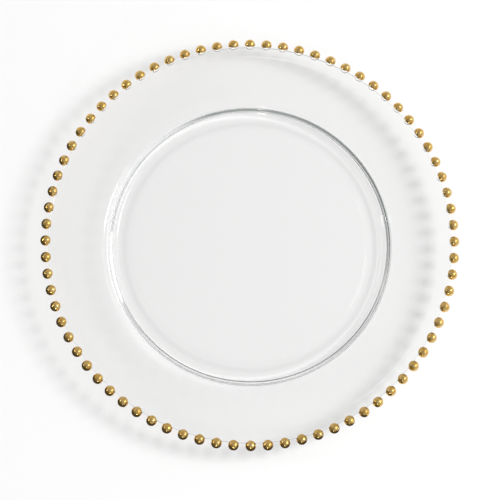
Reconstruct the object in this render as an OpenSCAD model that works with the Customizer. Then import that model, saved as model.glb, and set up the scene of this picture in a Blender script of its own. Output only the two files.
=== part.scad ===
// Clear pressed glass charger plate with a row of gilded glass beads round its edge.
// Millimetres, +Z up. The origin is the centre of the foot, on the table.

/* [Plate] */
// Diameter over the gilded beads
plate_d = 330; // [300:1:360]
// Height of the bead row's centres above the table
bead_row_h = 21.5; // [19:0.5:26]

/* [Well] */
// Radius at which the well floor's plane meets the wall's line
well_r = 106; // [103:0.5:108]
// Glass thickness of the well floor
floor_t = 3; // [2.6:0.1:4]
// Steepness of the wall's upper face, from the floor up to the rim, in degrees
wall_slope = 49; // [45:1:54]
// Radius of the hollow curve from floor to wall
well_fillet_r = 11; // [6:0.5:12]
// How much steeper than the rim the shoulder's ramp is, in degrees
shoulder_slope = 16; // [10:1:18]
// How far that ramp reaches out over the rim
shoulder_w = 4; // [2:0.5:6]
// Radius of the curve from the wall to the ramp
shoulder_r = 2; // [1:0.5:4]
// Radius of the curve from the ramp to the rim
ramp_curve_r = 15; // [8:1:20]

/* [Foot] */
// From the well radius out to the heel, the corner under the wall where the foot ends
heel_w = 4.8; // [4:0.2:6]
// Steepness of the wall's underside above the heel, in degrees
heel_slope = 79; // [74:1:82]
// Rounding of the heel
heel_r = 1.6; // [0.8:0.1:2.2]
// Radius of the hollow curve from the wall's underside to the rim's
under_shoulder_r = 6; // [4:0.5:7]
// Width of the flat ring that stands on the table
foot_w = 16; // [10:1:20]
// Rise of the underside inside that ring
foot_rise = 0.7; // [0.4:0.1:1.2]
// Width of the ramp from the ring up to the raised underside
foot_ramp_w = 2.5; // [1.5:0.5:5]
// Radius of the soft curves at both ends of that ramp
foot_ramp_r = 4; // [2:0.5:6]

/* [Rim] */
// Slope of the rim at the beads, in degrees
rim_slope = 15; // [13:0.5:16]
// How much flatter the rim is on the side of the well, in degrees
rim_bend = 5.5; // [3:0.5:6]
// Radius of the long curve between these two slopes
rim_curve_r = 220; // [100:20:260]
// Where that curve lies, as a share of the way from the well radius to the edge
rim_bend_share = 0.6; // [0.5:0.05:0.7]
// Glass thickness of the rim
rim_t = 3; // [2.6:0.1:3.4]
// Width of the raised band along the edge
band_w = 8.4; // [6:0.2:11]
// Height of that band above the rim
band_rise = 0.45; // [0.2:0.05:0.8]
// Chamfer along the edge between the beads
edge_chamfer = 0.8; // [0.4:0.1:1]

/* [Beads] */
// Number of beads
bead_count = 76; // [60:1:80]
// Diameter of a bead over its gilding
bead_d = 8.5; // [7:0.1:9.5]
// Distance from the bead centres in to the rim's edge
bead_overhang = 1.9; // [1:0.1:2.6]
// Thickness of the gilding
gilding_t = 0.2; // [0.15:0.05:0.4]
// How far the gilding reaches in from a bead's centre
gilding_reach = 2.4; // [1.4:0.1:3.4]
// Bare line between the gilding and the glass of the rim
bare_line = 0.15; // [0.1:0.05:0.4]

/* [Hidden] */

// Rounding of the band's small corners
small_r = 0.6;
// Steps of the arcs, in degrees, and the fewest steps of one arc
arc_step = 5;
least_steps = 4;
// Largest share of a side that one rounding takes
side_share = 0.49;
// Sides of the drawn circles
disc_sides = 360;
bead_sides = 48;

bead_circle_r = (plate_d - bead_d) / 2;
edge_r = bead_circle_r - bead_overhang;
core_r = bead_d / 2 - gilding_t;
floor_top = foot_rise + floor_t;
half_rim = rim_t / 2 / cos(rim_slope);

// Point on the rim's straight middle line through the bead centres, raised by some height
function on_rim(r, raised) = [r, bead_row_h + (r - bead_circle_r) * tan(rim_slope) + raised];

// Meeting point of two lines, each given by a point and an angle
function meet(p, p_angle, q, q_angle) =
    let (r = (q[1] - p[1] + p[0] * tan(p_angle) - q[0] * tan(q_angle)) / (tan(p_angle) - tan(q_angle)))
    [r, p[1] + (r - p[0]) * tan(p_angle)];

// Arc that rounds one corner of an outline. Its radius shrinks where a side is short
function rounded(before, corner, after, radius) =
    let (
        u = (before - corner) / norm(before - corner),
        v = (after - corner) / norm(after - corner),
        half = acos(u * v) / 2,
        room = side_share * min(norm(before - corner), norm(after - corner)),
        reach = min(radius / tan(half), room),
        centre = corner + (u + v) / norm(u + v) * reach / cos(half),
        start = corner + u * reach - centre,
        finish = corner + v * reach - centre,
        turn = sign(start[0] * finish[1] - start[1] * finish[0]) * (180 - 2 * half),
        steps = max(least_steps, ceil(abs(turn) / arc_step))
    )
    [for (i = [0:steps])
        let (a = turn * i / steps)
        centre + [start[0] * cos(a) - start[1] * sin(a), start[0] * sin(a) + start[1] * cos(a)]];

// Outline through corners, each given as [point, rounding radius]
function outline(corners) =
    let (n = len(corners))
    [for (i = [0:n - 1])
        let (c = corners[i])
        each (c[1] > 0
            ? rounded(corners[(i + n - 1) % n][0], c[0], corners[(i + 1) % n][0], c[1])
            : [c[0]])];

// Half section of the pressed glass: out along the underside and back along the top
function glass_section() =
    let (
        band_in = edge_r - band_w,
        band_top = half_rim + band_rise,
        bend_r = well_r + rim_bend_share * (edge_r - well_r),
        bend_top = on_rim(bend_r, half_rim),
        bend_under = on_rim(bend_r, -half_rim),
        inner_slope = rim_slope - rim_bend,
        wall_foot = [well_r, floor_top],
        ramp_top = meet(wall_foot, wall_slope, bend_top, inner_slope)
            + [1, tan(inner_slope)] * shoulder_w,
        heel = [well_r + heel_w, 0]
    )
    outline([
        [[0, foot_rise], 0],
        [heel + [-foot_w - foot_ramp_w, foot_rise], foot_ramp_r],
        [heel - [foot_w, 0], foot_ramp_r],
        [heel, heel_r],
        [meet(heel, heel_slope, bend_under, inner_slope), under_shoulder_r],
        [bend_under, rim_curve_r],
        [on_rim(edge_r - edge_chamfer, -half_rim), 0],
        [on_rim(edge_r, edge_chamfer - half_rim), 0],
        [on_rim(edge_r, band_top - edge_chamfer), 0],
        [on_rim(edge_r - edge_chamfer, band_top), 0],
        [on_rim(band_in + band_rise, band_top), small_r],
        [on_rim(band_in, half_rim), small_r],
        [bend_top, rim_curve_r],
        [ramp_top, ramp_curve_r],
        [meet(wall_foot, wall_slope, ramp_top, inner_slope + shoulder_slope), shoulder_r],
        [wall_foot, well_fillet_r],
        [[0, floor_top], 0]
    ]);

// Places its children at every bead, with +X out along the rim's slope
module at_each_bead() {
    for (i = [0:bead_count - 1])
        rotate([0, 0, i * 360 / bead_count])
            translate([bead_circle_r, 0, bead_row_h])
                rotate([0, -rim_slope, 0])
                    children();
}

// One piece of pressed glass: well, foot, wall, rim and the bead cores on its edge
module glass_plate() {
    color([0.86, 0.93, 0.92, 0.4]) {
        rotate_extrude($fn = disc_sides)
            polygon(glass_section());
        at_each_bead()
            sphere(r = core_r, $fn = bead_sides);
    }
}

// Gold on one bead: a thin shell, open at its back and slotted where the rim's edge runs in
module gilding_shell() {
    slot_t = rim_t + band_rise + 2 * bare_line;
    difference() {
        sphere(d = bead_d, $fn = bead_sides);
        sphere(r = core_r, $fn = bead_sides);
        translate([-gilding_reach - bead_d, -bead_d / 2, -bead_d / 2])
            cube(bead_d);
        translate([-bead_overhang + bare_line - bead_d, -bead_d / 2, (band_rise - slot_t) / 2])
            cube([bead_d, bead_d, slot_t]);
    }
}

// The gold on all the beads
module bead_gilding() {
    color([0.83, 0.63, 0.2])
        at_each_bead()
            gilding_shell();
}

glass_plate();
bead_gilding();
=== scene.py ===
"""Clear pressed-glass charger plate with gilded beads: its meshes, materials and studio."""

import math
import random
from collections import namedtuple

import bpy
from bpy.props import FloatProperty, FloatVectorProperty, IntProperty, PointerProperty
from mathutils import Matrix, Vector, noise


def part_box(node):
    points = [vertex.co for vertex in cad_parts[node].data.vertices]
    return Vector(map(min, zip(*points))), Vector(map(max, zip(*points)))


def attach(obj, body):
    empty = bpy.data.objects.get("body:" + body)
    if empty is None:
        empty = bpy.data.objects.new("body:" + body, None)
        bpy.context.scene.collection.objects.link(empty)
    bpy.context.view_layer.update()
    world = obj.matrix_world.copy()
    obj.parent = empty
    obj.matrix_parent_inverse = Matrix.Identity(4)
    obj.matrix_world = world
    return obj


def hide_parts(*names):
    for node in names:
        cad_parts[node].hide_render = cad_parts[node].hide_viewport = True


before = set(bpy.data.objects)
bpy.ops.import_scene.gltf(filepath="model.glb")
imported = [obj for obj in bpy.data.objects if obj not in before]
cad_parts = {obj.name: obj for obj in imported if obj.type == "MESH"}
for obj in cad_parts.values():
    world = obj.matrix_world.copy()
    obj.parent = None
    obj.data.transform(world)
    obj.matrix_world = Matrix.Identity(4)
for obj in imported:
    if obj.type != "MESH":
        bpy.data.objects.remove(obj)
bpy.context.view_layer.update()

bl_info = {
    "name": "Beaded charger plate",
    "version": (1, 0, 0),
    "blender": (4, 5, 0),
    "location": "View3D > Sidebar > Charger plate",
    "description": "Builds a clear glass charger plate with gilded beads and its studio",
    "category": "Add Mesh",
}

GOLD_LOW, GOLD_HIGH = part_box("bead_gilding")
PLATE_ACROSS = GOLD_HIGH[0] - GOLD_LOW[0]
BEAD_ACROSS = GOLD_HIGH[2] - GOLD_LOW[2]
BEAD_ROW_HEIGHT = (GOLD_HIGH[2] + GOLD_LOW[2]) / 2
MM = 0.001

# Edges that crease more than this stay sharp
CREASE = math.radians(35)
GLASS_CREASE = math.radians(28)


def length(name, description, default_mm):
    """A length property, with its default in millimetres."""
    return FloatProperty(name=name, description=description, default=default_mm * MM, min=0,
                         subtype="DISTANCE", unit="LENGTH", precision=5)


def angle(name, description, degrees):
    """An angle property, with its default in degrees."""
    return FloatProperty(name=name, description=description, default=math.radians(degrees),
                         subtype="ANGLE", unit="ROTATION")


def colour(name, description, default):
    """A colour property."""
    return FloatVectorProperty(name=name, description=description, default=default, size=3,
                               min=0, max=1, subtype="COLOR")


def share(name, description, default):
    """A share or a brightness, from 0 to 1."""
    return FloatProperty(name=name, description=description, default=default, min=0, max=1,
                         subtype="FACTOR")


def power(name, description, watts):
    """The power of a lamp, in watts."""
    return FloatProperty(name=name, description=description, default=watts, min=0, unit="POWER")


class PlateSizes(bpy.types.PropertyGroup):
    """Sizes of the pressed glass."""

    across: length("Diameter", "Diameter over the gilded beads", PLATE_ACROSS / MM)
    bead_row: length("Bead row", "Height of the bead centres above the table", BEAD_ROW_HEIGHT / MM)
    well: length("Well radius", "Radius where the floor's plane meets the wall's line", 106.2)
    floor: length("Floor", "Glass thickness of the well floor", 2.93)
    wall_slope: angle("Wall slope", "Steepness of the wall's upper face", 50.2)
    well_curve: length("Well curve", "Radius of the curve from floor to wall", 12.8)
    ramp_slope: angle("Ramp slope", "How much steeper than the rim the shoulder's ramp is", 21.4)
    ramp: length("Ramp", "How far the shoulder's ramp reaches out over the rim", 2.86)
    shoulder: length("Shoulder", "Radius of the curve from wall to ramp", 1.1)
    ramp_curve: length("Ramp curve", "Radius of the curve from ramp to rim", 14.8)
    heel: length("Heel", "From the well radius out to the heel under the wall", 4.7)
    heel_slope: angle("Heel slope", "Steepness of the wall's underside", 79)
    heel_curve: length("Heel curve", "Rounding of the heel", 3)
    under_shoulder: length("Under shoulder", "Radius of the curve under the shoulder", 3.7)
    foot: length("Foot width", "Width of the flat ring on the table", 16)
    foot_rise: length("Foot rise", "Rise of the underside inside the foot", 0.7)
    foot_ramp: length("Foot ramp", "Width of the ramp inside the foot", 2.5)
    foot_curve: length("Foot curve", "Radius of the soft curves of that ramp", 4)
    rim_slope: angle("Rim slope", "Slope of the rim at the beads", 15)
    rim_bend: angle("Rim bend", "How much flatter the rim is on the side of the well", 6)
    rim_curve: length("Rim curve", "Radius of the long curve along the rim", 220)
    bend_share: share("Bend share", "Where that curve lies across the rim", 0.6)
    rim: length("Rim", "Glass thickness of the rim", 2.94)
    band: length("Band width", "Width of the raised band at the edge", 8.4)
    band_rise: length("Band rise", "Height of that band above the rim", 0.6)
    edge_chamfer: length("Edge chamfer", "Chamfer along the edge between the beads", 0.8)
    small_curve: length("Small curve", "Rounding of the small corners", 0.3)


class BeadSizes(bpy.types.PropertyGroup):
    """Sizes of the beads and their gilding."""

    count: IntProperty(name="Beads", description="Number of beads", default=76, min=3)
    across: length("Bead diameter", "Diameter of a bead over its gilding", BEAD_ACROSS / MM)
    overhang: length("Overhang", "From the bead centres in to the rim's edge", 1.9)
    gilding: length("Gilding", "Thickness of the gilding", 0.2)
    brush_far: angle("Brushed, far side", "Reach of the gold over the beads at the back", 119)
    brush_near: angle("Brushed, near side", "Reach of the gold over the beads at the front", 150)
    brush_side: angle("Brushed, sides", "How much less the gold reaches at the sides of a bead", 20)
    brush_drop: angle("Brushed, below", "How much less still it reaches on the underside", 59)


class Finishes(bpy.types.PropertyGroup):
    """Colours and gloss of glass and gold, and the painted light and shade of the glass."""

    glass: colour("Glass", "Tint of the glass", (0.985, 0.986, 0.984))
    glass_index: FloatProperty(name="Index", description="Refractive index of the glass", default=1.5)
    # Core and lit core are painted shade and painted light: glows that the thick glass shows where a ray
    # bounces long in it, dark on most of the plate and pale at the left.
    core: colour("Core", "What the thick parts of the glass show", (0.16, 0.185, 0.175))
    painted_lit_core: colour("Lit core", "What the thick parts show at the lit side", (0.88, 0.9, 0.9))
    shadow: colour("Shadow", "Light that each face of the glass lets through", (0.94, 0.94, 0.938))
    # Dim shadow and the gathered light also draw the painted rings of shade and of light that the glass
    # puts on the table.
    dim_shadow: colour("Dim shadow", "Light let through where the glass is steep or thins it out",
                       (0.25, 0.26, 0.25))
    painted_gathered_light: FloatProperty(name="Gathered", description="Light let through where the glass gathers it",
                            default=2.6, min=0)
    gold: colour("Gold", "Rich colour of the gilding", (0.73, 0.455, 0.12))
    gold_pale: colour("Pale gold", "Colour where the gilding is thin", (0.79, 0.56, 0.23))
    gold_brown: colour("Brown gold", "Colour where the gilding pools", (0.37, 0.195, 0.04))


class Studio(bpy.types.PropertyGroup):
    """Camera and light."""

    elevation: angle("Elevation", "Camera above the table", 78.925)
    azimuth: angle("Azimuth", "Camera round the plate", -6.824)
    roll: angle("Roll", "Camera turned about its line of sight", 6.85)
    distance: length("Distance", "Camera to the middle of the bead row", 1455.6)
    lens: FloatProperty(name="Lens", description="Focal length on a 36 mm sensor", default=133.09,
                        min=1, unit="CAMERA")
    shift_x: FloatProperty(name="Shift X", description="Sideways shift of the frame", default=-0.00065)
    shift_y: FloatProperty(name="Shift Y", description="Upward shift of the frame", default=-0.01788)
    key: power("Key", "Power of the key softbox", 44)
    window: power("Window", "Power of the wide side window", 13)
    small: power("Small lamps", "Power of each small lamp", 0.9)
    light_side: share("Light side", "Brightness of the room at the right", 0.66)
    dim_side: share("Dim side", "Brightness of the room at the left", 0.42)
    dark_corner: share("Dark corner", "How much darker gloss shows the front left", 0.24)
    flag: share("Flag", "Brightness of the dark flag that the gold mirrors", 0.09)
    table: share("Table", "How pale the table is", 0.92)
    table_glow: share("Table glow", "Share of plain white seen on the table", 0.22)


# Shader nodes


class Value:
    """A node's output. Python expressions on it add Math nodes."""

    def __init__(self, nodes, socket):
        self.nodes = nodes
        self.socket = socket

    def do(self, operation, *terms):
        """The result of a Math node."""
        return self.nodes.add("ShaderNodeMath", {"operation": operation}, dict(enumerate(terms)))

    def __add__(self, other):
        return self.do("ADD", self, other)

    def __sub__(self, other):
        return self.do("SUBTRACT", self, other)

    def __rsub__(self, other):
        return self.do("SUBTRACT", other, self)

    def __mul__(self, other):
        return self.do("MULTIPLY", self, other)

    def __pow__(self, other):
        return self.do("POWER", self, other)

    __radd__ = __add__
    __rmul__ = __mul__

    def most(self, other):
        """The larger of the two."""
        return self.do("MAXIMUM", self, other)

    def line(self, middle, width):
        """1 at the middle, falling smoothly to 0 at half the width on each side."""
        away = self.do("ABSOLUTE", self - middle)
        return away.ramp(width / 2, 0)

    def ramp(self, low, high):
        """0 below low, 1 above high, smooth between."""
        return self.nodes.add("ShaderNodeMapRange", {"interpolation_type": "SMOOTHSTEP"},
                              {"Value": self, "From Min": low, "From Max": high})

    def between(self, low, high, soft):
        """1 between two angles in degrees, falling to 0 over the soft edge outside each."""
        edges = [math.radians(v) for v in (low - soft, low, high + soft, high)]
        return self.ramp(edges[0], edges[1]) * self.ramp(edges[2], edges[3])


class Nodes:
    """A node tree that is filled by code."""

    def __init__(self, tree):
        self.tree = tree
        tree.nodes.clear()

    def add(self, kind, settings=None, sockets=None, output=0):
        """Adds a node, its settings first, and gives one of its outputs."""
        node = self.tree.nodes.new(kind)
        for name, setting in (settings or {}).items():
            setattr(node, name, setting)
        for name, value in (sockets or {}).items():
            if isinstance(value, Value):
                self.tree.links.new(value.socket, node.inputs[name])
            else:
                node.inputs[name].default_value = value
        return Value(self, node.outputs[output]) if node.outputs else None

    def mixed(self, factor, first, second):
        """A blend of two colours, whose sockets in the Mix node are numbers 6 and 7."""
        return self.add("ShaderNodeMix", {"data_type": "RGBA"}, {0: factor, 6: first, 7: second}, output=2)

    def either(self, factor, first, second):
        """A blend of two shaders."""
        return self.add("ShaderNodeMixShader", None, {0: factor, 1: first, 2: second})

    def glow(self, tint, strength=1.0):
        """A shader that gives off light."""
        return self.add("ShaderNodeEmission", None, {"Color": opaque(tint), "Strength": strength})

    def see_through(self, tint):
        """A shader that light passes without bending."""
        return self.add("ShaderNodeBsdfTransparent", None, {"Color": opaque(tint)})

    def noise(self, place, scale, detail=2.0, roughness=0.5):
        """Plain noise around 0.5."""
        return self.add("ShaderNodeTexNoise", None,
                        {"Vector": place, "Scale": scale, "Detail": detail, "Roughness": roughness})

    def place(self):
        """The object's own coordinates."""
        return self.add("ShaderNodeTexCoord", output="Object")

    def ray(self, *kinds):
        """1 for rays of the given kinds, named as Light Path's outputs."""
        found = self.add("ShaderNodeLightPath", output=kinds[0])
        for kind in kinds[1:]:
            found = found.most(self.add("ShaderNodeLightPath", output=kind))
        return found

    def parts(self, vector):
        """The three numbers of a vector."""
        return [self.add("ShaderNodeSeparateXYZ", None, {"Vector": vector}, output=i) for i in range(3)]

    def finish(self, shader, kind="ShaderNodeOutputMaterial"):
        """Links the last shader to the tree's output."""
        self.add(kind, None, {"Surface": shader})


# Materials


CAMERA_RAY = "Is Camera Ray"
SHADOW_RAY = "Is Shadow Ray"
DIFFUSE_RAY = "Is Diffuse Ray"
GLOSSY_RAY = "Is Glossy Ray"
TRANSMISSION_RAY = "Is Transmission Ray"
WHITE = (1, 1, 1)


def opaque(rgb):
    """A colour with its alpha."""
    return (*rgb, 1)


def material(name):
    """A new material and its empty node tree."""
    made = bpy.data.materials.new(name)
    made.use_nodes = True
    return made, Nodes(made.node_tree)


# A painted ring in the light that the glass lets through, which puts painted shade or painted light on the
# table where the curves of the glass would thin out the light or gather it: its size and shift in
# millimetres, its strength, and the height of the glass there
PaintedRing = namedtuple("PaintedRing", "radius width shift_x shift_y strength height")
PAINTED_SHADE_RING = PaintedRing(99.8, 7, 0, 0, 0.12, 0)
PAINTED_SHADE_RINGS_AT_LEFT = (
    PaintedRing(130, 15, 13, 0, 0.1, 12),
    PaintedRing(118, 9, 10, 0, 0.06, 10),
    PaintedRing(147, 42, 16, 0, 0.045, 16),
)
PAINTED_LIGHT_RING = PaintedRing(106.8, 1.5, 0, 0, 1, 4)
PAINTED_LIGHT_RING_AT_LEFT = PaintedRing(110.5, 2.6, 3, -2, 0.4, 8)

# How far up and down the glass a painted ring reaches together
PAINTED_RING_TALL = 7 * MM

# Sides of the plate and of the room, as seen from above: X to the right and Y to the back. The plate's
# sides place the glass's painted light and shade
DARK_SIDE = (0.77, -0.64)
LIT_SIDE = (-0.9, 0.3)
FRONT_LEFT = (-0.75, -0.66)

# How far out on the plate each side begins, and where it is whole
DARK_SIDE_FADE = (84.24 * MM, 99.36 * MM)
LIT_SIDE_FADE = (33 * MM, 77 * MM)
BACK_FADE = (20 * MM, 100 * MM)
BACK_SHARE = 0.27

# The left half, where some painted rings show: where it begins and how wide its soft edge is
LEFT_FROM = 30 * MM
LEFT_FADE = 70 * MM

# How often light bounces in the glass before the painted glow shows in place of lost light, and how much
# sooner on the dark side
BOUNCES = 5.5
SOONER = 2

# Waves in the glass and spots in the gold, counted along a metre
WAVES = 34
RIPPLES = 160
POOLS = 420
STREAKS = 1500


def along(side, spot):
    """How far a spot lies towards one side."""
    return side[0] * spot[0] + side[1] * spot[1]


def painted_ring_strength(spot, ring):
    """The strength on a painted ring of the glass, 0 beside it."""
    x, y, z = spot
    x, y = x - ring.shift_x * MM, y - ring.shift_y * MM
    away = (x * x + y * y) ** 0.5
    on_ring = away.line(ring.radius * MM, ring.width * MM)
    return ring.strength * on_ring * z.line(ring.height * MM, PAINTED_RING_TALL)


def painted_glass_glow(nodes, look, spot):
    """Painted light and shade where light is lost in the glass: a glow, pale at the left and a little at
    the back, dark elsewhere.
    """
    left = along(LIT_SIDE, spot).ramp(*LIT_SIDE_FADE)
    back = BACK_SHARE * spot[1].ramp(*BACK_FADE)
    return nodes.either(left.most(back), nodes.glow(look.core), nodes.glow(look.painted_lit_core))


def passed_light(nodes, look, spot):
    """Light on its way through the glass to the table, less where the glass is steep, with painted rings
    of shade and light.
    """
    left_side = (LEFT_FROM - spot[0]).ramp(0, LEFT_FADE)
    facing = nodes.add("ShaderNodeLayerWeight", None, {"Blend": 0.5}, output="Facing")
    # Painted shade: rings of less light on the table join the loss at steep glass.
    lost = (facing ** 3).ramp(0.05, 0.9) + painted_ring_strength(spot, PAINTED_SHADE_RING)
    for ring in PAINTED_SHADE_RINGS_AT_LEFT:
        lost = lost + left_side * painted_ring_strength(spot, ring)
    # Painted light: rings of more light on the table.
    painted_gathered_light = painted_ring_strength(spot, PAINTED_LIGHT_RING) + left_side * painted_ring_strength(spot, PAINTED_LIGHT_RING_AT_LEFT)
    dimmed = nodes.either(lost, nodes.see_through(look.shadow), nodes.see_through(look.dim_shadow))
    return nodes.either(painted_gathered_light, dimmed, nodes.see_through([look.painted_gathered_light] * 3))


def clear_glass(look):
    """Clear pressed glass, with a faint wave from the press. It lets light through to the table. Where a
    ray bounces long in it, it shows a painted glow, and its shadow carries painted rings.
    """
    made, nodes = material("clear_glass_with_painted_light")
    place = nodes.place()
    wave = nodes.noise(place, WAVES, 1)
    ripple = nodes.noise(place, RIPPLES, 2)
    bump = nodes.add("ShaderNodeBump", None,
                     {"Strength": 0.08, "Distance": 0.6 * MM, "Height": wave + 0.05 * ripple})
    body = nodes.add("ShaderNodeBsdfPrincipled", None, {
        "Base Color": opaque(look.glass), "Roughness": 0.0, "IOR": look.glass_index,
        "Transmission Weight": 1.0, "Normal": bump})
    spot = nodes.parts(place)
    # Painted shade: on the dark side rays give up two bounces sooner, so the dark glow shows more.
    dark_side = along(DARK_SIDE, spot).ramp(*DARK_SIDE_FADE)
    bounces = nodes.add("ShaderNodeLightPath", output="Ray Depth") + SOONER * dark_side
    deep = bounces.ramp(BOUNCES - 0.1, BOUNCES + 0.1)
    # Deep rays show the painted glow in place of the glass.
    seen = nodes.either(deep, body, painted_glass_glow(nodes, look, spot))
    nodes.finish(nodes.either(nodes.ray(SHADOW_RAY, DIFFUSE_RAY), seen, passed_light(nodes, look, spot)))
    return made


def gold_leaf(look):
    """Hand-brushed gold, glossy and uneven."""
    made, nodes = material("brushed_on_gold")
    place = nodes.place()
    pool = nodes.noise(place, POOLS, 2)
    streak = nodes.noise(place, STREAKS, 3, 0.6)
    tone = nodes.mixed(pool.ramp(0.42, 0.62), opaque(look.gold), opaque(look.gold_pale))
    tone = nodes.mixed(0.55 * streak.ramp(0.52, 0.72), tone, opaque(look.gold_brown))
    bump = nodes.add("ShaderNodeBump", None,
                     {"Strength": 0.6, "Distance": 0.3 * MM, "Height": pool + 0.35 * streak})
    body = nodes.add("ShaderNodeBsdfPrincipled", None, {
        "Base Color": tone, "Metallic": 1.0, "Roughness": 0.08 + 0.14 * streak, "Normal": bump})
    nodes.finish(body)
    return made


# Meshes


def meeting(first, first_angle, second, second_angle):
    """Where two lines meet, each given by a point and an angle."""
    a, b = math.tan(first_angle), math.tan(second_angle)
    r = (second[1] - first[1] + first[0] * a - second[0] * b) / (a - b)
    return Vector((r, first[1] + (r - first[0]) * a))


def rounded(before, corner, after, radius, step=math.radians(3), least=6, most=0.49):
    """Points of the arc that rounds one corner, over at most a share of its shorter side."""
    u, v = (before - corner).normalized(), (after - corner).normalized()
    half = u.angle(v) / 2
    shorter = min((before - corner).length, (after - corner).length)
    reach = min(radius / math.tan(half), most * shorter)
    centre = corner + (u + v).normalized() * reach / math.cos(half)
    start, end = corner + u * reach - centre, corner + v * reach - centre
    turn = math.pi - 2 * half
    if start.x * end.y - start.y * end.x < 0:
        turn = -turn
    steps = max(least, math.ceil(abs(turn) / step))
    points = []
    for i in range(steps + 1):
        a = turn * i / steps
        points.append(centre + Vector((start.x * math.cos(a) - start.y * math.sin(a),
                                       start.x * math.sin(a) + start.y * math.cos(a))))
    return points


def glass_section(size, bead):
    """Half section of the glass, from the middle of its underside round to the middle of its top."""
    circle = (size.across - bead.across) / 2
    edge = circle - bead.overhang
    half = size.rim / 2 / math.cos(size.rim_slope)

    def on_rim(r, raised):
        """A point over the middle of the rim's glass."""
        return Vector((r, size.bead_row + (r - circle) * math.tan(size.rim_slope) + raised))

    top = size.foot_rise + size.floor
    band_in = edge - size.band
    band_top = half + size.band_rise
    cut = size.edge_chamfer
    bend = size.well + size.bend_share * (edge - size.well)
    inner_slope = size.rim_slope - size.rim_bend
    wall_foot = Vector((size.well, top))
    heel = Vector((size.well + size.heel, 0))
    ramp_top = meeting(wall_foot, size.wall_slope, on_rim(bend, half), inner_slope)
    ramp_top += Vector((1, math.tan(inner_slope))) * size.ramp
    corners = [
        (Vector((0, size.foot_rise)), 0),
        (heel + Vector((-size.foot - size.foot_ramp, size.foot_rise)), size.foot_curve),
        (heel - Vector((size.foot, 0)), size.foot_curve),
        (heel, size.heel_curve),
        (meeting(heel, size.heel_slope, on_rim(bend, -half), inner_slope), size.under_shoulder),
        (on_rim(bend, -half), size.rim_curve),
        (on_rim(edge, -half), cut),
        (on_rim(edge, band_top), cut),
        (on_rim(band_in + size.band_rise, band_top), size.small_curve),
        (on_rim(band_in, half), size.small_curve),
        (on_rim(bend, half), size.rim_curve),
        (ramp_top, size.ramp_curve),
        (meeting(wall_foot, size.wall_slope, ramp_top, inner_slope + size.ramp_slope), size.shoulder),
        (wall_foot, size.well_curve),
        (Vector((0, top)), 0),
    ]
    points = []
    for i, (corner, radius) in enumerate(corners):
        if radius:
            points += rounded(corners[i - 1][0], corner, corners[(i + 1) % len(corners)][0], radius)
        else:
            points.append(corner)
    return points


def closed_faces(base, sides, rows):
    """Faces of a closed form: a first point, rows of points round it, and a last point."""
    last = base + rows * sides + 1
    faces = []
    for k in range(sides):
        n = (k + 1) % sides
        faces.append((base, base + 1 + k, base + 1 + n))
        faces.append((last, last - sides + n, last - sides + k))
        for j in range(rows - 1):
            a = base + 1 + j * sides
            b = a + sides
            faces.append((a + k, b + k, b + n, a + n))
    return faces


def revolved(points, sides):
    """A closed solid of revolution about Z. The first and last points lie on the axis."""
    verts = [(0, 0, points[0].y)]
    ring = points[1:-1]
    for p in ring:
        for k in range(sides):
            a = math.tau * k / sides
            verts.append((p.x * math.cos(a), p.x * math.sin(a), p.y))
    verts.append((0, 0, points[-1].y))
    # These rows run the other way round, so each face is turned over
    faces = [(face[0], *face[:0:-1]) for face in closed_faces(0, sides, len(ring))]
    return verts, faces


def bead_frame(size, bead, i):
    """Frame of one bead: X out along the rim's slope, Z off the rim."""
    spot = Vector(((size.across - bead.across) / 2, 0, size.bead_row))
    return (Matrix.Rotation(math.tau * i / bead.count, 4, "Z") @ Matrix.Translation(spot)
            @ Matrix.Rotation(-size.rim_slope, 4, "Y"))


def mesh_object(name, verts, faces, sharp=CREASE):
    """A smooth-shaded object, with the edges sharp where it creases more than the angle given."""
    mesh = bpy.data.meshes.new(name)
    mesh.from_pydata([tuple(v) for v in verts], [], faces)
    mesh.validate()
    mesh.shade_smooth()
    if sharp:
        mesh.set_sharp_from_angle(angle=sharp)
    made = bpy.data.objects.new(name, mesh)
    bpy.context.collection.objects.link(made)
    return made


def polar_point(radius, from_pole, around):
    """A point on a ball whose pole is +X."""
    return Vector((math.cos(from_pole), math.sin(from_pole) * math.cos(around),
                   math.sin(from_pole) * math.sin(around))) * radius


def bead_balls(size, bead, radius, rings=20, sides=40):
    """One closed ball for each bead core."""
    verts, faces = [], []
    for i in range(bead.count):
        at = bead_frame(size, bead, i)
        base = len(verts)
        verts.append(at @ Vector((radius, 0, 0)))
        for j in range(1, rings):
            for k in range(sides):
                verts.append(at @ polar_point(radius, math.pi * j / rings, math.tau * k / sides))
        verts.append(at @ Vector((-radius, 0, 0)))
        faces += closed_faces(base, sides, rings - 1)
    return verts, faces


def joined_glass(size, bead, sides_by_bead=16):
    """The pressed glass: the turned plate and its bead cores as one solid."""
    turned = revolved(glass_section(size, bead), sides_by_bead * bead.count)
    plate = mesh_object("glass_pressing", *turned, sharp=None)
    balls = bead_balls(size, bead, bead.across / 2 - bead.gilding)
    cores = mesh_object("bead_cores", *balls, sharp=None)
    union = plate.modifiers.new("beads", "BOOLEAN")
    union.operation = "UNION"
    union.solver = "MANIFOLD"
    union.object = cores
    joined = plate.evaluated_get(bpy.context.evaluated_depsgraph_get())
    solid = bpy.data.meshes.new_from_object(joined)
    plate.modifiers.clear()
    plate.data = solid
    bpy.data.objects.remove(cores)
    solid.shade_smooth()
    solid.set_sharp_from_angle(angle=GLASS_CREASE)
    return plate


# How a hand brushes on the gold. It leaves a bare line beside the rim's glass, and the gold grips
# its core a little.
BRUSH_SEED = 4
BARE_LINE = 0.12 * MM
GRIP = 0.03 * MM

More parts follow.
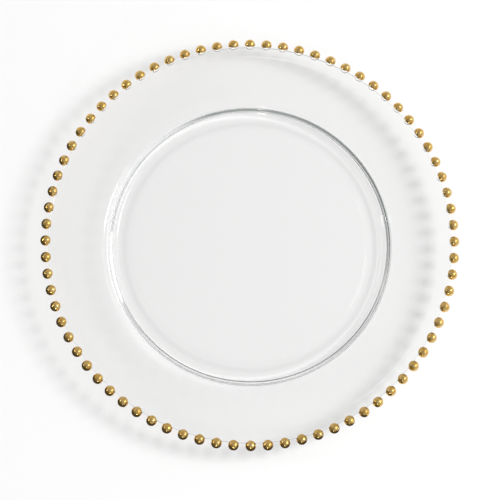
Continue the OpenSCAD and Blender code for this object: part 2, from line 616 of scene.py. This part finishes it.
# How far round from the front the gold reaches furthest, how much the beads differ, and how
# uneven each edge is
FURTHEST = math.radians(12)
BEAD_SPREAD = math.radians(4)
EDGE_WOBBLE = math.radians(5)
WOBBLE_SCALE = 1.6
WOBBLE_STEP = 7.3
DROP_POWER = 0.7

# How much the gold swells, as a share of the bead's radius, and how its edge is rounded off
SWELL_SHARE = 0.006
SWELL_SCALE = 1.7
SWELL_STEP = 3.1
LIP_SHARE = 0.995
LIP_ANGLE = 0.02


def gold_edge(size, bead, i, around, brush):
    """How far over a bead its gold reaches, as an angle from the bead's outer pole."""
    up = math.sin(around)
    brush -= bead.brush_side * (1 - max(0.0, up)) + bead.brush_drop * max(0.0, -up) ** DROP_POWER
    spot = Vector((math.cos(around) * WOBBLE_SCALE, up * WOBBLE_SCALE, i * WOBBLE_STEP))
    reach = brush + EDGE_WOBBLE * noise.noise(spot)
    half = size.rim / 2 + BARE_LINE + (size.band_rise if up > 0 else 0)
    radius = bead.across / 2
    side = math.acos(-(bead.overhang - BARE_LINE) / radius)
    over = side
    if abs(up) * radius > half:
        over = math.pi - math.asin(half / radius / abs(up))
    return max(min(side, reach), min(over, reach))


def gold_shells(size, bead, sides=36, rings=14, inner_rings=6):
    """The gold on each bead, a thin closed shell whose edge a brush left a little uneven."""
    dice = random.Random(BRUSH_SEED)
    outer = bead.across / 2
    inner = outer - bead.gilding - GRIP
    turns = [math.tau * k / sides for k in range(sides)]
    verts, faces = [], []
    for i in range(bead.count):
        at = bead_frame(size, bead, i)
        base = len(verts)
        near = 0.5 - 0.5 * math.sin(math.tau * i / bead.count + FURTHEST)
        brush = bead.brush_far + (bead.brush_near - bead.brush_far) * near
        brush += dice.uniform(-BEAD_SPREAD, BEAD_SPREAD)
        edges = [gold_edge(size, bead, i, around, brush) for around in turns]
        verts.append(at @ Vector((outer, 0, 0)))
        for j in range(1, rings + 1):
            lip = 1 if j < rings else LIP_SHARE
            for edge, around in zip(edges, turns):
                p = polar_point(1, edge * j / rings, around)
                uneven = 0.5 + 0.5 * noise.noise(p * SWELL_SCALE + Vector((i * SWELL_STEP, 0, 0)))
                verts.append(at @ (p * outer * (1 - SWELL_SHARE * uneven) * lip))
        for j in range(inner_rings, 0, -1):
            for edge, around in zip(edges, turns):
                verts.append(at @ polar_point(inner, (edge - LIP_ANGLE) * j / inner_rings, around))
        verts.append(at @ Vector((inner, 0, 0)))
        faces += closed_faces(base, sides, rings + inner_rings)
    return verts, faces


# Pieces


def put_on(made, node, finish):
    """Gives a piece its material, rides it on the part and hides the plain solid."""
    made.data.materials.clear()
    made.data.materials.append(finish)
    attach(made, "root")
    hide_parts(node)


class PLATE_OT_press_glass(bpy.types.Operator):
    """Build the clear glass plate with its bead cores"""

    bl_idname = "charger_plate.press_glass"
    bl_label = "Press the glass"

    def execute(self, context):
        scene = context.scene
        made = joined_glass(scene.plate_sizes, scene.bead_sizes)
        put_on(made, "glass_plate", clear_glass(scene.plate_finishes))
        return {"FINISHED"}


class PLATE_OT_gild_beads(bpy.types.Operator):
    """Build the gold on all the beads"""

    bl_idname = "charger_plate.gild_beads"
    bl_label = "Gild the beads"

    def execute(self, context):
        scene = context.scene
        made = mesh_object("brushed_gilding", *gold_shells(scene.plate_sizes, scene.bead_sizes))
        put_on(made, "bead_gilding", gold_leaf(scene.plate_finishes))
        return {"FINISHED"}


# Stage


# A lamp: where it stands from the plate, by two angles in degrees and a distance in metres, its
# width and height, and whether gloss shows it
Lamp = namedtuple("Lamp", "name azimuth elevation distance width height mirrored")
KEY_SOFTBOX = Lamp("key_softbox", 6, 44, 2.6, 0.84, 0.84, False)
SIDE_WINDOW = Lamp("side_window", -3, 53, 3.2, 3.6, 0.35, False)
SMALL_LAMPS = (
    Lamp("left_lamp", 178, 30, 1.3, 0.1, 0.1, True),
    Lamp("front_lamp", 265, 25, 1.3, 0.1, 0.1, True),
)

# A glow in the room that only gloss shows: where it lies, its strength and its soft edge, with all
# angles in degrees
Glow = namedtuple("Glow", "left right low high strength soft")
GLOWS = (
    Glow(-16, 4, 41, 49, 1.7, 6),
    Glow(-9, 10, 39, 49, 4, 1.5),
    Glow(1.5, 7, 40, 48, 10, 1),
    Glow(10, 36, 40, 52, 1.1, 6),
    Glow(8, 33, 12, 27, 1.0, 3),
    Glow(105, 150, 8, 40, 0.25, 12),
)

# The table's half width and how far it lies under the foot
TABLE_HALF = 4.0
TABLE_DROP = 0.1 * MM

# The dark flag, a flat strip with a wall along its outer edge: both radii, the wall's height and
# the lift off the table
FLAG_NEAR = 168 * MM
FLAG_FAR = 230 * MM
FLAG_TALL = 45 * MM
FLAG_LIFT = 0.3 * MM

# Where the flag starts and how far it goes round, in degrees, and in how many flat steps
FLAG_START = 150
FLAG_SWEEP = 155
FLAG_STEPS = 30

# Width in millimetres of the camera's sensor, which its lens is given for
SENSOR = 36


def softbox(lamp, watts):
    """A rectangular area lamp aimed at the middle of the plate."""
    light = bpy.data.lights.new(lamp.name, "AREA")
    light.shape = "RECTANGLE"
    light.size, light.size_y = lamp.width, lamp.height
    light.energy = watts
    made = bpy.data.objects.new(lamp.name, light)
    made.visible_glossy = made.visible_transmission = lamp.mirrored
    a, e = math.radians(lamp.azimuth), math.radians(lamp.elevation)
    out = Vector((math.cos(a) * math.cos(e), math.sin(a) * math.cos(e), math.sin(e)))
    made.location = out * lamp.distance
    made.rotation_euler = (-made.location).to_track_quat("-Z", "Y").to_euler()
    bpy.context.collection.objects.link(made)


class PLATE_OT_set_stage(bpy.types.Operator):
    """Build the table, the lamps, the room and the camera"""

    bl_idname = "charger_plate.set_stage"
    bl_label = "Set the stage"

    def execute(self, context):
        scene = context.scene
        studio = scene.plate_studio
        self.table(studio)
        self.flag(studio)
        self.room(scene, studio)
        softbox(KEY_SOFTBOX, studio.key)
        softbox(SIDE_WINDOW, studio.window)
        for lamp in SMALL_LAMPS:
            softbox(lamp, studio.small)
        self.camera(scene, studio)
        scene.view_settings.view_transform = "Standard"
        return {"FINISHED"}

    def table(self, studio):
        """A wide white table that keeps the plate's shadow."""
        corners = [(x * TABLE_HALF, y * TABLE_HALF, -TABLE_DROP)
                   for x, y in ((-1, -1), (1, -1), (1, 1), (-1, 1))]
        made = mesh_object("white_table", corners, [(0, 1, 2, 3)])
        finish, nodes = material("white_table_top")
        lit = nodes.add("ShaderNodeBsdfDiffuse", None, {"Color": opaque([studio.table] * 3)})
        seen = nodes.ray(CAMERA_RAY, GLOSSY_RAY, TRANSMISSION_RAY)
        nodes.finish(nodes.either(studio.table_glow * seen, lit, nodes.glow(WHITE)))
        made.data.materials.append(finish)

    def flag(self, studio):
        """A low dark card round the left and the front. Only reflections show it."""
        lift, top = Vector((0, 0, FLAG_LIFT)), Vector((0, 0, FLAG_TALL))
        verts, faces = [], []
        for i in range(FLAG_STEPS + 1):
            a = math.radians(FLAG_START + FLAG_SWEEP * i / FLAG_STEPS)
            out = Vector((math.cos(a), math.sin(a), 0))
            verts += [out * FLAG_NEAR + lift, out * FLAG_FAR + lift, out * FLAG_FAR + top]
            if i:
                k = 3 * i
                faces += [(k - 3, k - 2, k + 1, k), (k - 2, k - 1, k + 2, k + 1)]
        made = mesh_object("dark_flag", verts, faces)
        finish, nodes = material("dark_flag_card")
        nodes.finish(nodes.glow(WHITE, studio.flag))
        made.data.materials.append(finish)
        made.visible_camera = made.visible_diffuse = made.visible_transmission = False
        made.visible_shadow = made.visible_volume_scatter = False

    def room(self, scene, studio):
        """A grey room, lighter at the right, with a dark corner and glows that gloss shows."""
        world = bpy.data.worlds.new("studio_room")
        scene.world = world
        world.use_nodes = True
        nodes = Nodes(world.node_tree)
        x, y, z = nodes.parts(nodes.add("ShaderNodeTexCoord", output="Generated"))
        grey = studio.dim_side + (studio.light_side - studio.dim_side) * x.ramp(-0.5, 0.6)
        turn, rise = y.do("ARCTAN2", y, x), z.do("ARCSINE", z)
        mirrored = nodes.ray(GLOSSY_RAY, TRANSMISSION_RAY)
        low = rise.ramp(math.radians(70), math.radians(40))
        corner = along(FRONT_LEFT, (x, y)).ramp(0.35, 0.85) * low
        grey = grey - studio.dark_corner * corner * mirrored
        for glow in GLOWS:
            across = turn.between(glow.left, glow.right, glow.soft)
            upright = rise.between(glow.low, glow.high, glow.soft)
            grey = grey + glow.strength * across * upright * mirrored
        sky = nodes.add("ShaderNodeBackground", None, {"Color": opaque(WHITE), "Strength": grey})
        nodes.finish(sky, "ShaderNodeOutputWorld")

    def camera(self, scene, studio):
        """The camera, at the photograph's viewing angle."""
        a, e, roll = studio.azimuth, studio.elevation, studio.roll
        back = Vector((math.sin(a) * math.cos(e), -math.cos(a) * math.cos(e), math.sin(e)))
        right = Vector((math.cos(a), math.sin(a), 0))
        up = back.cross(right)
        side = right * math.cos(roll) + up * math.sin(roll)
        top = up * math.cos(roll) - right * math.sin(roll)
        data = bpy.data.cameras.new("photo_camera")
        data.sensor_width = SENSOR
        data.lens = studio.lens
        data.shift_x = studio.shift_x
        data.shift_y = studio.shift_y
        made = bpy.data.objects.new("photo_camera", data)
        turned = Matrix((side, top, back)).transposed().to_4x4()
        target = Vector((0, 0, scene.plate_sizes.bead_row))
        made.matrix_world = Matrix.Translation(target + back * studio.distance) @ turned
        bpy.context.collection.objects.link(made)
        scene.camera = made


# Panel and registration


class PLATE_PT_panel(bpy.types.Panel):
    """Lists the plate's pieces and the stage"""

    bl_label = "Charger plate"
    bl_idname = "PLATE_PT_panel"
    bl_space_type = "VIEW_3D"
    bl_region_type = "UI"
    bl_category = "Charger plate"

    def draw(self, context):
        for step in OPERATORS:
            self.layout.operator(step.bl_idname)


GROUPS = {"plate_sizes": PlateSizes, "bead_sizes": BeadSizes, "plate_finishes": Finishes,
          "plate_studio": Studio}
OPERATORS = (PLATE_OT_press_glass, PLATE_OT_gild_beads, PLATE_OT_set_stage)


def register():
    """Adds the classes and the scene's settings."""
    for group in GROUPS.values():
        bpy.utils.register_class(group)
    for name, group in GROUPS.items():
        setattr(bpy.types.Scene, name, PointerProperty(type=group))
    for kind in (*OPERATORS, PLATE_PT_panel):
        bpy.utils.register_class(kind)


def unregister():
    """Takes them out again."""
    for kind in (PLATE_PT_panel, *reversed(OPERATORS)):
        bpy.utils.unregister_class(kind)
    for name, group in GROUPS.items():
        delattr(bpy.types.Scene, name)
        bpy.utils.unregister_class(group)


def main():
    """Builds the plate and its stage."""
    register()
    bpy.ops.charger_plate.press_glass()
    bpy.ops.charger_plate.gild_beads()
    bpy.ops.charger_plate.set_stage()


if __name__ == "__main__":
    main()
